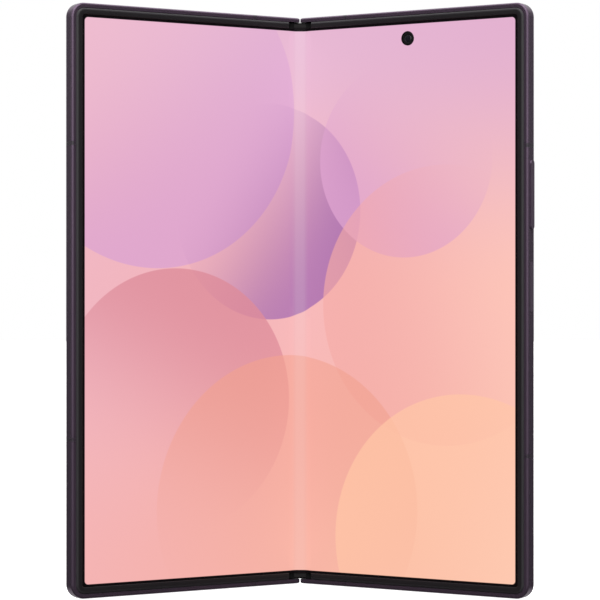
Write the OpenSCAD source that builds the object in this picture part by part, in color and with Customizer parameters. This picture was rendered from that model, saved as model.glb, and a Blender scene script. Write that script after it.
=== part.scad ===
// Book-style folding telephone, standing on its lower edge like an open book.
// Each half is modelled lying flat on its back: X runs out from the fold, Y up the
// phone and Z out of the screen, whose surface is Z = 0. It is then stood up and turned.

/* [Body] */
// Width of the phone opened flat
open_w = 143.2; // [130:0.1:158]
// Height of the phone along the hinge
body_h = 158.4; // [150:0.1:172]
// Thickness of one half, from its back to its screen
half_t = 4.2; // [4.1:0.05:4.6]
// Gap between the two screens when the phone is shut
shut_gap = 0.5; // [0.4:0.05:0.7]
// Turn of each half away from flat as the phone stands
rest_fold = 32; // [5:1:60]
// Radius of the outer corners
corner_r = 3.8; // [3.2:0.1:6]
// Rounding of the frame's back edge
back_round = 1.1; // [0.4:0.05:1.2]
// Rounding of the frame's front edge
front_round = 0.55; // [0.2:0.05:0.6]

/* [Screen] */
// Thickness of the folding panel
panel_t = 0.35; // [0.25:0.01:0.4]
// Width of the plastic strip round the screen
bezel_w = 1.8; // [1.5:0.1:2]
// Half width of the stretch that bends
bend_reach = 4; // [3.8:0.1:4.4]
// Height of the plastic strip above the screen
bezel_proud = 0.2; // [0.1:0.01:0.22]
// Diameter of the inner camera's window
inner_lens_d = 3.75; // [3:0.05:5]

/* [Hinge] */
// Distance of each fold axis from the centre plane
axis_u = 1.2; // [1.1:0.05:1.3]
// Wall of the hinge's cover
spine_wall = 0.4; // [0.3:0.05:0.5]
// Distance between neighbouring gear shafts
gear_pitch = 1.4; // [1.38:0.01:1.42]
// Teeth on each gear
gear_teeth = 12; // [12:2:12]
// Tilt of the screen supports when the phone is shut
wing_tilt = 12.5; // [10:0.5:14]
// Distance of each hinge module from the end of the phone
module_inset = 34; // [24:1:50]

/* [Keys] */
// Length of the volume rocker
rocker_l = 18.4; // [14:0.1:24]
// Height of the volume rocker's middle above the lower edge
rocker_y = 107.4; // [104:0.1:112]
// Length of the side key
side_key_l = 13.6; // [10:0.1:16]
// Height of the side key's middle above the lower edge
side_key_y = 83; // [74:0.1:86]
// Width of both keys
key_w = 1.9; // [1.5:0.05:2.1]

/* [Cameras] */
// Width of the rear camera island
island_w = 19; // [17:0.1:21]
// Length of the rear camera island
island_l = 60; // [57:0.5:66]
// Height of the island above the back
island_t = 1.3; // [0.8:0.1:2]
// Diameter of each lens ring
ring_d = 15.4; // [13:0.1:16]

/* [Batteries] */
// Space between each battery and the frame round it
battery_gap = 7; // [3:0.5:20]
// Thickness of each battery
battery_t = 2.1; // [1.5:0.05:2.15]

/* [Hidden] */
$fn = 64;

// Fold axes and the hinge's section
half_w = open_w / 2;
axis_v = shut_gap / 2 - axis_u;
lip_t = 0.7;
spine_gap = 0.15;
spine_r = half_t - lip_t + axis_v - spine_gap;
spine_inner_r = spine_r - spine_wall;
wall_top = axis_v - 1.1;
centre_gap = 0.1;
end_wall = 1.2;
spine_end = end_wall + 0.1;
fit = 0.05;
running = 0.03;

// Layers, measured from the screen's surface
plate_t = 0.18;
plate_v = -panel_t - 0.02 - plate_t;
deck_t = 0.6;
deck_top = plate_v - 0.03;
deck_v = deck_top - deck_t;
glass_t = 0.6;
glass_v = -half_t + glass_t;
ledge_v = glass_v + fit;
bay_v = ledge_v + 0.05;
bay_top = deck_v - fit;

// Rim round each half, measured inwards from the outer face
rim_w = 1.25;
shelf_w = 2.6;
bezel_d = rim_w + fit;
panel_d = bezel_d + bezel_w - 0.75;
bend_d = bezel_d + bezel_w;
rail_u = axis_u + spine_r + 0.3;
strip_end_u = 3.2;
glass_u = rail_u + fit;
hinge_corner_r = 1.25;

// Hinge mechanism
shaft_v = axis_v - 0.8;
shaft_u = 1.5 * gear_pitch;
idler_u = 0.5 * gear_pitch;
shaft_r = 0.2;
gear_t = 2.8;
arm_l = 6;
arm_t = 0.3;
arc_in = 1.45;
arc_out = spine_inner_r - 0.1;
core_r = arc_in - 0.05;
tongue_v = axis_v - 0.9;
tongue_t = 0.4;
tongue_end = 9;
rotator_t = 4;
right_arc_y = -9.5;
left_arc_y = -4.5;
module_half = 13;
bed_v = shaft_v - gear_pitch / 2 - 0.15;
bracket_top = plate_v - 0.2;
bay_u = 10;
wing_u0 = 1.7;
wing_u1 = 5.6;
wing_t = 0.25;
wing_top = plate_v + plate_t - 0.03;
wing_pin_v = wing_top - 0.32;
wing_pin_r = 0.28;
wing_d = bend_d + 0.2;
wing_rest = wing_tilt * rest_fold / 90;
module_ys = [module_inset, body_h - module_inset];

// Inner camera, by its distance from the fold and from the upper edge
inner_lens_u = half_w / 2 - 0.7;
inner_lens_y = body_h - 7.75;

// Rear cameras
island_u = half_w - 8 - island_w / 2;
island_y = body_h - 7 - island_l / 2;
camera_step = (island_l - island_w) / 2;
camera_ys = [for (i = [-1:1]) island_y + i * camera_step];
ring_t = 1.1;
lens_d = ring_d - 3.6;
camera_d = ring_d - 4.4;

// Keys
key_v = -half_t / 2;
key_flange = 0.5;
key_gap = 0.08;
rocker_proud = 0.35;

// Sockets and openings
usb_u = half_w / 2 + 0.2;
usb_w = 8.34;
usb_h = 2.56;
usb_l = 7.3;
usb_wall = 0.2;
usb_v = -half_t / 2;
sim_w = 12.3;
sim_l = 17;
sim_face_w = 15.4;
sim_t = 1.1;
sim_v = bay_top - 0.1 - sim_t / 2;
pin_hole_r = 0.42;
speaker_u = usb_u + 16;
band_h = 1.1;
bay_in = 3;

// The depth is centred on the origin
function fold_y(u, v) = -axis_v - (u - axis_u) * sin(rest_fold) - (v - axis_v) * cos(rest_fold);
front_y = fold_y(half_w - front_round + front_round * sin(rest_fold),
    -front_round + front_round * cos(rest_fold));
lip_round = 0.35;
back_y = fold_y(centre_gap + lip_round * (1 - sin(rest_fold)),
    -half_t + lip_round * (1 - cos(rest_fold)));
depth_y = -(front_y + back_y) / 2;

// Places: lying flat to standing, turned by the fold, and the mirrored half
module stand() translate([0, depth_y, 0]) rotate([90, 0, 0]) children();
module turn_about(u, v, angle) translate([u, 0, v]) rotate([0, -angle, 0])
    translate([-u, 0, -v]) children();
module right_half() stand() turn_about(axis_u, axis_v, rest_fold) children();
module left_half() stand() mirror([1, 0, 0]) turn_about(axis_u, axis_v, rest_fold) children();

// Solids in the flat frame
module block(u0, u1, y0, y1, v0, v1) translate([u0, y0, v0])
    cube([u1 - u0, y1 - y0, v1 - v0]);
module along_y(y0, y1) translate([0, y1, 0]) rotate([90, 0, 0]) linear_extrude(y1 - y0) children();
module rounded(w, h, r) {
    translate([0, r]) square([w, h - 2 * r]);
    translate([r, 0]) square([w - 2 * r, h]);
    for (x = [r, w - r], y = [r, h - r]) translate([x, y]) circle(r);
}
module slab(u0, u1, y0, y1, v0, v1, r) translate([u0, y0, v0]) linear_extrude(v1 - v0)
    rounded(u1 - u0, y1 - y0, r);
module stub(u, y, v0, v1, r) translate([u, y, v0]) cylinder(h = v1 - v0, r = r);
module rod(u, v, y0, y1, r) along_y(y0, y1) translate([u, v]) circle(r);
module tube(u, y, v0, v1, r_out, r_in) translate([u, y, v0]) linear_extrude(v1 - v0) difference() {
    circle(r_out);
    circle(r_in);
}
// A slot through the outer side wall, with round ends
module side_slot(y, l, w, d0, d1, v) translate([half_w - d0, y, v]) rotate([0, -90, 0])
    linear_extrude(d1 - d0) translate([-w / 2, -l / 2]) rounded(w, l, w / 2 - 0.001);
// A slot through the upper or lower wall, with round ends
module end_slot(u, y0, y1, v, l, w) along_y(y0, y1)
    translate([u - l / 2, v - w / 2]) rounded(l, w, w / 2 - 0.001);

// Sweeps a section, drawn inwards from the outer face, round the three outer sides
module sweep_rim(u0) {
    translate([u0, 0, 0]) rotate([0, 0, 90]) rotate([90, 0, 0])
        linear_extrude(half_w - corner_r - u0) children();
    translate([half_w - corner_r, corner_r, 0]) rotate([0, 0, -90]) rotate_extrude(angle = 90)
        translate([corner_r, 0]) mirror([1, 0]) children();
    translate([half_w, corner_r, 0]) rotate([0, 0, 180]) rotate([90, 0, 0])
        linear_extrude(body_h - 2 * corner_r) children();
    translate([half_w - corner_r, body_h - corner_r, 0]) rotate_extrude(angle = 90)
        translate([corner_r, 0]) mirror([1, 0]) children();
    translate([half_w - corner_r, body_h, 0]) rotate([0, 0, -90]) rotate([90, 0, 0])
        linear_extrude(half_w - corner_r - u0) children();
}
module rim_skin(width) intersection() {
    union() {
        translate([0, back_round - half_t]) square([width, half_t - back_round - front_round]);
        translate([back_round, -half_t]) square([width, back_round]);
        translate([front_round, -front_round]) square([width, front_round]);
        intersection() {
            translate([back_round, back_round - half_t]) circle(back_round);
            translate([0, -half_t]) square(back_round);
        }
        intersection() {
            translate([front_round, -front_round]) circle(front_round);
            translate([0, -front_round]) square(front_round);
        }
    }
    translate([0, -half_t]) square([width, half_t]);
}
module rim_section() {
    rim_skin(rim_w);
    translate([rim_w - 0.01, ledge_v]) square([shelf_w - rim_w + 0.01, -0.45 - ledge_v]);
}
// Trims the frame's end beside the hinge so that the two halves roll past each other
module hinge_end_trim() {
    along_y(-1, body_h + 1) difference() {
        translate([-1, axis_v]) square([1 + axis_u, 3]);
        translate([axis_u, axis_v]) circle(axis_u - centre_gap);
    }
    along_y(-1, body_h + 1) difference() {
        translate([centre_gap - 1, -half_t - 1]) square([1 + lip_round, 1 + lip_round]);
        translate([centre_gap + lip_round, lip_round - half_t]) circle(lip_round);
    }
    for (top = [0, 1]) translate([0, top * body_h, -half_t - 1]) mirror([0, top, 0])
        linear_extrude(half_t + 2) difference() {
            translate([centre_gap - 1, -1]) square(1 + hinge_corner_r);
            translate([centre_gap + hinge_corner_r, hinge_corner_r]) circle(hinge_corner_r);
        }
}
module band_places(ys, us) {
    for (y = ys) block(half_w - 5, half_w + 1, y - band_h / 2, y + band_h / 2, -half_t - 1, 1);
    for (u = us) {
        block(u - band_h / 2, u + band_h / 2, -1, 5, -half_t - 1, 1);
        block(u - band_h / 2, u + band_h / 2, body_h - 5, body_h + 1, -half_t - 1, 1);
    }
}
right_band_ys = [38, 120.4];
left_band_ys = [42.4, 121];
band_us = [15];

// The half's frame: rim, lip over the hinge, hinge pocket and the deck under the screen
module half_frame(band_ys) difference() {
    union() {
        sweep_rim(rail_u) rim_section();
        intersection() {
            sweep_rim(centre_gap) rim_skin(end_wall);
            block(0, rail_u + 0.1, -1, body_h + 1, -half_t - 1, 1);
        }
        block(centre_gap, rail_u, 0, body_h, -half_t, lip_t - half_t);
        along_y(end_wall, body_h - end_wall) polygon([[rail_u - 0.02, -half_t], [rail_u, -half_t],
            [rail_u, ledge_v], [bay_u - 0.6, ledge_v], [bay_u - 0.6, ledge_v + 0.4],
            [bay_u, ledge_v + 0.4], [bay_u, deck_v], [half_w - shelf_w, deck_v],
            [half_w - shelf_w, deck_top], [wing_u1 + 0.1, deck_top], [wing_u1 + 0.1, deck_v],
            [bay_u - 0.6, deck_v], [bay_u - 0.6, ledge_v + 0.9], [rail_u - 0.02, ledge_v + 0.9]]);
    }
    hinge_end_trim();
    along_y(end_wall + 1.6, body_h - end_wall - 1.6) translate([wing_u1, wing_pin_v]) circle(wing_pin_r + 0.06);
    intersection() {
        band_places(band_ys, band_us);
        sweep_rim(rail_u) translate([-1, -half_t - 1]) square([1 + rim_w, half_t + 2]);
    }
    children();
}
module bands(band_ys) intersection() {
    band_places(band_ys, band_us);
    sweep_rim(rail_u) rim_skin(rim_w);
}
tongue_screw_u = 7.6;
screw_r = 0.45;
screw_head_r = 0.8;
screw_head_t = 0.25;
module tongue_screws(arc_y) for (y = module_ys) {
    stub(tongue_screw_u, y + arc_y, tongue_v, deck_top - 0.05, screw_r);
    stub(tongue_screw_u, y + arc_y, tongue_v - screw_head_t, tongue_v, screw_head_r);
}
module tongue_screw_holes(arc_y) for (y = module_ys) stub(tongue_screw_u, y + arc_y, -5, 0, screw_r + fit);

module bezel() sweep_rim(strip_end_u) {
    translate([bezel_d, -0.42]) square([panel_d - bezel_d - fit, 0.42 + bezel_proud]);
    translate([bezel_d, 0.02]) square([bezel_w, bezel_proud - 0.02]);
}
module display_panel(lens) difference() {
    slab(0, half_w - panel_d, panel_d, body_h - panel_d, -panel_t, 0, 1.6);
    block(-1, bend_reach, 0, body_h, -1, 1);
    if (lens) stub(inner_lens_u, inner_lens_y, -1, 1, inner_lens_d / 2);
}
plate_inset = 0.4;
module backplate(lens) difference() {
    slab(wing_u1 + 0.3, half_w - panel_d - plate_inset, panel_d + plate_inset, body_h - panel_d - plate_inset,
        plate_v, plate_v + plate_t, 1.2);
    if (lens) stub(inner_lens_u, inner_lens_y, -1, 1, inner_lens_d / 2 + 0.3);
}
module back_panel() slab(glass_u, half_w - rim_w - fit, rim_w + fit, body_h - rim_w - fit,
    -half_t, glass_v, corner_r - rim_w - fit);

// Hinge parts
module spine_outline(r) {
    for (s = [-1, 1]) translate([s * axis_u, axis_v]) circle(r);
    translate([-axis_u, axis_v - r]) square([2 * axis_u, 2 * r]);
}
module hinge_spine() color("dimgray") stand() along_y(spine_end, body_h - spine_end) difference() {
    spine_outline(spine_r);
    spine_outline(spine_inner_r);
    translate([-10, wall_top]) square([20, 10]);
}
module arc_pocket(y, t) along_y(y - t / 2, y + t / 2) difference() {
    translate([axis_u, axis_v]) circle(spine_inner_r + 0.6);
    translate([axis_u, axis_v]) circle(core_r);
}
module hinge_bracket(y) color("silver") stand() difference() {
    along_y(y - module_half, y + module_half) intersection() {
        spine_outline(spine_inner_r - 0.02);
        translate([-10, -10]) square([20, 10 + bracket_top]);
    }
    arc_pocket(y + right_arc_y, rotator_t + 0.4);
    mirror([1, 0, 0]) arc_pocket(y + left_arc_y, rotator_t + 0.4);
    block(-6, 6, y - gear_t / 2 - 0.3, y + gear_t / 2 + 0.3, bed_v, 1);
    block(-6, 6, y + 2.4, y + module_half - 1.2, bed_v, 1);
    for (s = [-1, 1]) {
        rod(s * shaft_u, shaft_v, y - 2.2, y + module_half + 1, shaft_r + running);
        rod(s * idler_u, shaft_v, y - 2.2, y + 2.4, shaft_r + running);
    }
}
module hinge_bracket_lower() hinge_bracket(module_ys[0]);
module hinge_bracket_upper() hinge_bracket(module_ys[1]);
module spine_end_caps() color("#3a3538") stand() for (top = [0, 1])
    translate([0, top * body_h, 0]) mirror([0, top, 0]) {
        along_y(spine_end + 0.05, spine_end + 1.6) intersection() {
            spine_outline(spine_inner_r - 0.02);
            translate([-10, -10]) square([20, 10 + bracket_top]);
        }
        block(-1.7, 1.7, bend_d - 1.25, bend_d - 0.1, bracket_top - 0.3, 0.1);
        block(-0.9, 0.9, spine_end + 0.05, bend_d - 0.1, bracket_top - 1.3, bracket_top);
    }
module gear_shafts() color("lightgray") stand() for (y = module_ys, s = [-1, 1]) {
    rod(s * shaft_u, shaft_v, y - 2.15, y + module_half - 0.1, shaft_r);
    rod(s * idler_u, shaft_v, y - 2.15, y + 2.35, shaft_r);
}
disc_r = 0.72;
disc_t = 0.35;
disc_step = 0.7;
disc_count = 12;
module friction_discs() color("gray") stand() for (y = module_ys, s = [-1, 1], i = [0:disc_count - 1])
    translate([s * shaft_u, y + 2.8 + i * disc_step, shaft_v]) rotate([-90, 0, 0]) linear_extrude(disc_t)
        difference() {
            circle(disc_r);
            circle(shaft_r + running);
        }

// Toothed wheel with straight flanks, thin enough for a little play
module gear(phase) {
    pitch_r = gear_pitch / 2;
    tip_r = pitch_r + 0.08;
    root_r = pitch_r - 0.12;
    step = 360 / gear_teeth;
    tooth = [[root_r, -8], [pitch_r, -6], [tip_r, -3.5], [tip_r, 3.5], [pitch_r, 6], [root_r, 8]];
    polygon([for (i = [0:gear_teeth - 1], p = tooth)
        let (a = phase + i * step + p[1]) p[0] * [cos(a), sin(a)]]);
}
// One idler, drawn as it stands at rest
module idler(u, phase) for (y = module_ys) along_y(y - gear_t / 2, y + gear_t / 2)
    translate([u, shaft_v]) difference() {
        gear(phase);
        circle(shaft_r + running);
    }
module right_idlers() color("gainsboro") stand() idler(idler_u, 15 - rest_fold);
module left_idlers() color("gainsboro") stand() idler(-idler_u, rest_fold);
module sync_arms(phase) turn_about(shaft_u, shaft_v, rest_fold) for (y = module_ys)
    along_y(y - gear_t / 2, y + gear_t / 2) translate([shaft_u, shaft_v]) difference() {
        union() {
            gear(phase);
            translate([0, -arm_t / 2]) square([arm_l, arm_t]);
            translate([arm_l, 0]) circle(arm_t / 2 + 0.1);
        }
        circle(shaft_r + running);
    }
module right_sync_arms() color("silver") stand() sync_arms(0);
module left_sync_arms() color("silver") stand() mirror([1, 0, 0]) sync_arms(15);

// The curved runners that carry each half round its fold axis
module rotators(arc_y) for (y = module_ys) difference() {
    along_y(y + arc_y - rotator_t / 2, y + arc_y + rotator_t / 2) {
        intersection() {
            translate([axis_u, axis_v]) difference() {
                circle(arc_out);
                circle(arc_in);
            }
            translate([axis_u, axis_v]) polygon([[0, 0], [-5, -0.9], [-5, -5], [5, -5], [5, -5 * tan(30)]]);
        }
        difference() {
            translate([axis_u + 1.1, tongue_v]) square([tongue_end - axis_u - 1.1, tongue_t]);
            translate([axis_u, axis_v]) circle(arc_in);
        }
        translate([wing_u1 + 0.5, tongue_v + 0.1])
            square([tongue_end - wing_u1 - 0.5, deck_v - tongue_v - 0.1]);
    }
    stub(tongue_screw_u, y + arc_y, -5, 0, screw_r + fit);
}
module right_rotators() color("silver") right_half() rotators(right_arc_y);
module left_rotators() color("silver") left_half() rotators(left_arc_y);

// Thin support that tilts away under the bending screen
module wing(arc_y) turn_about(wing_u1, wing_pin_v, wing_rest) difference() {
    union() {
        block(wing_u0, wing_u1, wing_d, body_h - wing_d, wing_top - wing_t, wing_top);
        rod(wing_u1, wing_pin_v, wing_d, body_h - wing_d, wing_pin_r);
    }
    for (y = module_ys) block(wing_u0 - 1, wing_u1 - 0.7, y + arc_y - 2.4, y + arc_y + 2.4, -3, 1);
}
module right_wing() color("dimgray") right_half() wing(right_arc_y);
module left_wing() color("dimgray") left_half() wing(left_arc_y);

// The bending stretch: each point turns about its half's fold axis by a share of the
// fold that grows smoothly from none at the centre to the whole at its outer edge
bend_edge_x = axis_u + (bend_reach - axis_u) * cos(rest_fold) + axis_v * sin(rest_fold);
function smooth(t) = let (c = min(max(t, 0), 1)) c * c * (3 - 2 * c);
function bent_x(u, v, a) = axis_u + (u - axis_u) * cos(a) - (v - axis_v) * sin(a);
function bent_v(u, v, a) = axis_v + (u - axis_u) * sin(a) + (v - axis_v) * cos(a);
function settle_x(u, v, x, n) = n == 0 ? x :
    settle_x(u, v, (x + bent_x(u, v, rest_fold * smooth(x / bend_edge_x))) / 2, n - 1);
function bent(u, v) = let (x = settle_x(u, v, u, 40), a = rest_fold * smooth(x / bend_edge_x))
    [bent_x(u, v, a), bent_v(u, v, a)];
bend_steps = 10;
function bend_line(v) = [for (i = [0:bend_steps]) bent(i * bend_reach / bend_steps, v)];
function mirrored(p) = [for (i = [len(p) - 1:-1:1]) [-p[i][0], p[i][1]]];
function reversed(p) = [for (i = [len(p) - 1:-1:0]) p[i]];
module bent_strip(v_top, v_low, y0, y1) along_y(y0, y1) polygon(concat(mirrored(bend_line(v_top)),
    bend_line(v_top), reversed(bend_line(v_low)), reversed(mirrored(bend_line(v_low)))));
module display_bend() color("#e4b8d6") stand() bent_strip(0, -panel_t, bend_d, body_h - bend_d);
flex_w = 14;
flex_reach = 2.4;
module hinge_flex() color("#7a4a20") stand() along_y(body_h / 2 - flex_w / 2, body_h / 2 + flex_w / 2)
    translate([-flex_reach, axis_v - 1.5]) square([2 * flex_reach, 0.12]);

// Right half
module right_frame() color("#4a404c") right_half() half_frame(right_band_ys) {
    side_slot(rocker_y, rocker_l + 2 * key_gap, key_w + 2 * key_gap, -1, 5, key_v);
    side_slot(rocker_y, rocker_l + 1.4, key_w + 0.9, rim_w, 5, key_v);
    side_slot(side_key_y, side_key_l + 2 * key_gap, key_w + 2 * key_gap, -1, 5, key_v);
    side_slot(side_key_y, side_key_l + 1.4, key_w + 0.9, rim_w, 5, key_v);
    end_slot(usb_u, -1, 5, usb_v, usb_w + 2 * usb_wall + 0.1, usb_h + 2 * usb_wall + 0.1);
    block(usb_u - 5.2, usb_u + 5.2, 1, usb_l + 1.2, -0.9 + usb_v, plate_v - 0.01);
    for (i = [0:4]) end_slot(speaker_u + (i - 2) * 2.6, -1, 5, usb_v, 1.9, 1);
    rod(usb_u - 9, usb_v, -1, 5, 0.4);
    rod(usb_u, usb_v, body_h - 5, body_h + 1, 0.4);
    stub(inner_lens_u, inner_lens_y, -5, 1, inner_lens_d / 2 + 0.6);
    tongue_screw_holes(right_arc_y);
    for (y = camera_ys) stub(island_u, y, -2.4, 0, camera_d / 2 + 0.2);
}
module right_back_glass() color("#4d4350") right_half() difference() {
    back_panel();
    for (y = camera_ys) stub(island_u, y, -5, 0, camera_d / 2 + 0.1);
    stub(flash_u, flash_y, -5, 0, flash_r + fit);
}
module right_bezel() color("#262326") right_half() bezel();
module right_display() color("#f4b8b0") right_half() display_panel(true);
module right_backplate() color("#333333") right_half() backplate(true);
module right_antenna_bands() color("#5a525c") right_half() bands(right_band_ys);

flash_r = 2.3;
flash_u = island_u - island_w / 2 - 5.5;
flash_y = body_h - 16;
module flash_lens() color("ivory") right_half() {
    stub(flash_u, flash_y, -half_t - 0.05, glass_v, flash_r);
    block(flash_u - 1.2, flash_u + 1.2, flash_y - 1.2, flash_y + 1.2, glass_v - 0.01, glass_v + 0.5);
}
module camera_island() color("#453b48") right_half() difference() {
    slab(island_u - island_w / 2, island_u + island_w / 2, island_y - island_l / 2, island_y + island_l / 2,
        -half_t - island_t, -half_t, island_w / 2 - 0.001);
    for (y = camera_ys) stub(island_u, y, -10, 0, camera_d / 2 + 0.1);
}
module camera_rings() color("#39333c") right_half() for (y = camera_ys)
    tube(island_u, y, -half_t - island_t - ring_t, -half_t - island_t, ring_d / 2, lens_d / 2);
module camera_lenses() color("#101014") right_half() for (y = camera_ys)
    stub(island_u, y, -half_t - island_t - ring_t + 0.15, -half_t - island_t - 0.15, lens_d / 2 - 0.03);
module camera_modules() color("#1c1c20") right_half() for (y = camera_ys) {
    stub(island_u, y, -half_t - island_t - 0.1, -2.3, camera_d / 2);
    block(island_u - 6, island_u + 6, y - 6, y + 6, bay_v, bay_top);
}
module inner_camera() color("#0c0c10") right_half() {
    stub(inner_lens_u, inner_lens_y, bay_top - 1.3, -0.08, inner_lens_d / 2 - 0.06);
    block(inner_lens_u - 2.9, inner_lens_u + 2.9, inner_lens_y - 2.9, inner_lens_y + 2.9,
        bay_v + 0.3, bay_top - 0.05);
}

main_u1 = half_w - bay_in;
battery_w = half_w - shelf_w - battery_gap - bay_u - 2;
battery_y0 = 29;
battery_y1 = island_y - island_l / 2 - 5.4;
board_y0 = battery_y1 + 2;
coil_u = bay_u + 2 + battery_w / 2;
coil_y = (battery_y0 + battery_y1) / 2;
coil_r = 20;
board_v = -2.6;
board_t = 0.6;
module main_board() color("darkgreen") right_half() difference() {
    slab(bay_u + 0.3, main_u1, board_y0, body_h - bay_in, board_v, board_v + board_t, 1);
    for (y = camera_ys) block(island_u - 6.2, 80, y - 6.2, y + 6.2, -5, 0);
    block(inner_lens_u - 3.2, inner_lens_u + 3.2, inner_lens_y - 3.2, 200, -5, 0);
    block(flash_u - 2, flash_u + 2, flash_y - 2, flash_y + 2, -5, 0);
    block(half_w - 7, 100, board_y0 - 1, body_h, -5, 0);
}
module board_shields() color("silver") right_half() {
    slab(bay_u + 2, 30, board_y0 + 3, board_y0 + 30, board_v + board_t, bay_top, 0.8);
    slab(32, island_u - 8, board_y0 + 3, board_y0 + 38, board_v + board_t, bay_top, 0.8);
    slab(bay_u + 2, 29, board_y0 + 34, board_y0 + 60, board_v - 0.8, board_v, 0.8);
}
module right_battery() color("#202020") right_half()
    slab(bay_u + 2, bay_u + 2 + battery_w, battery_y0, battery_y1, bay_top - battery_t, bay_top, 2);
module wireless_coil() color("peru") right_half() difference() {
    stub(coil_u, coil_y, bay_v - 0.05, bay_top - battery_t - 0.02, coil_r);
    stub(coil_u, coil_y, -5, 0, coil_r / 2);
}
switch_places = [rocker_y - 5, rocker_y + 5, side_key_y];
rib_l = 1.4;
rib_r = 0.2;
module key_switches() color("gray") right_half() {
    for (y = switch_places) {
        block(half_w - 4.1, half_w - shelf_w - 0.35, y - 1.6, y + 1.6, key_v - 0.9, key_v + 0.9);
        translate([half_w - shelf_w - 0.36, y, key_v]) rotate([0, 90, 0]) cylinder(h = 0.12, r = 0.7);
    }
    difference() {
        block(half_w - 4.1, half_w - shelf_w - 0.05, rocker_y - 1, rocker_y + 1, key_v - 0.9, key_v + 0.9);
        stub(half_w - shelf_w, rocker_y, key_v - 1, key_v + 1, rib_r + running);
    }
}
module key(y, l, proud) {
    side_slot(y, l, key_w, -proud, rim_w + 0.3, key_v);
    side_slot(y, l + 2 * key_flange, key_w + 0.6, rim_w + 0.28, rim_w + 0.28 + key_flange, key_v);
    side_slot(y, l - 2, key_w - 0.5, rim_w + 0.7, shelf_w, key_v);
}
// The rocker tilts on a round rib behind its middle
module volume_rocker() color("#4f4552") right_half() {
    key(rocker_y, rocker_l, rocker_proud);
    stub(half_w - shelf_w, rocker_y, key_v - rib_l / 2, key_v + rib_l / 2, rib_r);
}
module side_key() color("#4f4552") right_half() key(side_key_y, side_key_l, 0);
module usb_port() color("silver") right_half() {
    difference() {
        end_slot(usb_u, 0.9, usb_l + 1, usb_v, usb_w + 2 * usb_wall, usb_h + 2 * usb_wall);
        end_slot(usb_u, -1, usb_l + 0.6, usb_v, usb_w, usb_h);
    }
    block(usb_u - 3.3, usb_u + 3.3, 2.2, usb_l + 0.7, usb_v - 0.35, usb_v + 0.35);
}
module charge_board() color("darkgreen") right_half()
    slab(bay_u + 0.3, main_u1, usb_l + 1.4, battery_y0 - 1, board_v, board_v + board_t, 1);
module loudspeaker() color("#1a1a1a") right_half() {
    slab(speaker_u - 8, speaker_u + 9, usb_l + 2, battery_y0 - 3, board_v + board_t, bay_top, 1);
    block(speaker_u - 6.5, speaker_u + 6.5, shelf_w + 0.1, usb_l + 2.1, board_v + board_t, bay_top);
}
module haptic_motor() color("lightgray") right_half()
    slab(bay_u + 2, bay_u + 15, usb_l + 3, battery_y0 - 3, board_v + board_t, bay_top, 0.6);
module right_screws() color("silver") right_half() {
    tongue_screws(right_arc_y);
}
magnet_ys = [20, 32, 60];
module magnets() for (y = magnet_ys)
    block(half_w - shelf_w - 1.5, half_w - shelf_w - fit, y - 4.5, y + 4.5, bay_top - 0.7, bay_top);
module right_magnets() color("silver") right_half() magnets();

// Left half
module left_frame() color("#4a404c") left_half() half_frame(left_band_ys) {
    end_slot(sim_u, body_h - rim_w, body_h + 1, sim_v, sim_face_w + 0.1, sim_t + 0.8);
    block(sim_u - sim_w / 2 - 0.1, sim_u + sim_w / 2 + 0.1, body_h - 6, body_h - 0.5, sim_v - sim_t / 2 - 0.1,
        sim_v + sim_t / 2 + 0.1);
    for (i = [0:3]) end_slot(speaker_u + (i - 1.5) * 2.6, body_h - 5, body_h + 1, usb_v, 1.9, 1);
    rod(usb_u - 9, usb_v, -1, 5, 0.4);
    tongue_screw_holes(left_arc_y);
}
cover_lens_u = glass_u + (half_w - glass_u) / 2;
cover_lens_y = body_h - 8;
cover_lens_d = 4;
sim_u = cover_lens_u - 11.8;
module cover_glass() color("#15141a") left_half() back_panel();
cover_edge = 2.4;
module cover_display() color("#0a0a0c") left_half() difference() {
    slab(bay_u + 0.2, half_w - cover_edge - shelf_w, cover_edge + 2, body_h - cover_edge - 2,
        glass_v, glass_v + 0.3, 2);
    stub(cover_lens_u, cover_lens_y, -5, 0, cover_lens_d / 2);
}
module left_bezel() color("#262326") left_half() bezel();
module left_display() color("#efbccd") left_half() display_panel(false);
module left_backplate() color("#333333") left_half() backplate(false);
module left_antenna_bands() color("#5a525c") left_half() bands(left_band_ys);
left_bay_v = glass_v + 0.35;
left_battery_y1 = body_h - 46.4;
module left_battery() color("#202020") left_half()
    slab(bay_u + 2, bay_u + 2 + battery_w, battery_y0, left_battery_y1,
        bay_top - min(battery_t, bay_top - left_bay_v - 0.05), bay_top, 2);
left_board_v = left_bay_v + 0.15;
module left_board() color("darkgreen") left_half() difference() {
    slab(bay_u + 0.3, main_u1, left_battery_y1 + 4, body_h - bay_in, left_board_v, left_board_v + 0.4, 1);
    stub(cover_lens_u, cover_lens_y, -5, 0, 3.4);
}
module cover_camera() color("#0c0c10") left_half() {
    stub(cover_lens_u, cover_lens_y, glass_v, left_board_v + 0.5, cover_lens_d / 2 - 0.1);
    stub(cover_lens_u, cover_lens_y, left_board_v + 0.45, bay_top, 3);
}
module ear_speaker() color("#1a1a1a") left_half()
    slab(speaker_u - 5, speaker_u + 8, body_h - 15, body_h - bay_in, left_board_v + 0.45, bay_top, 1);
sim_y0 = body_h - sim_l - 0.3;
module sim_reader() color("silver") left_half() difference() {
    block(sim_u - 7, sim_u + 7, sim_y0 - 1.5, body_h - 4.8, left_board_v + 0.4, bay_top);
    block(sim_u - sim_w / 2 - 0.08, sim_u + sim_w / 2 + 0.08, sim_y0 - 0.6, body_h, sim_v - sim_t / 2 - 0.08,
        sim_v + sim_t / 2 + 0.08);
}
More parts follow.
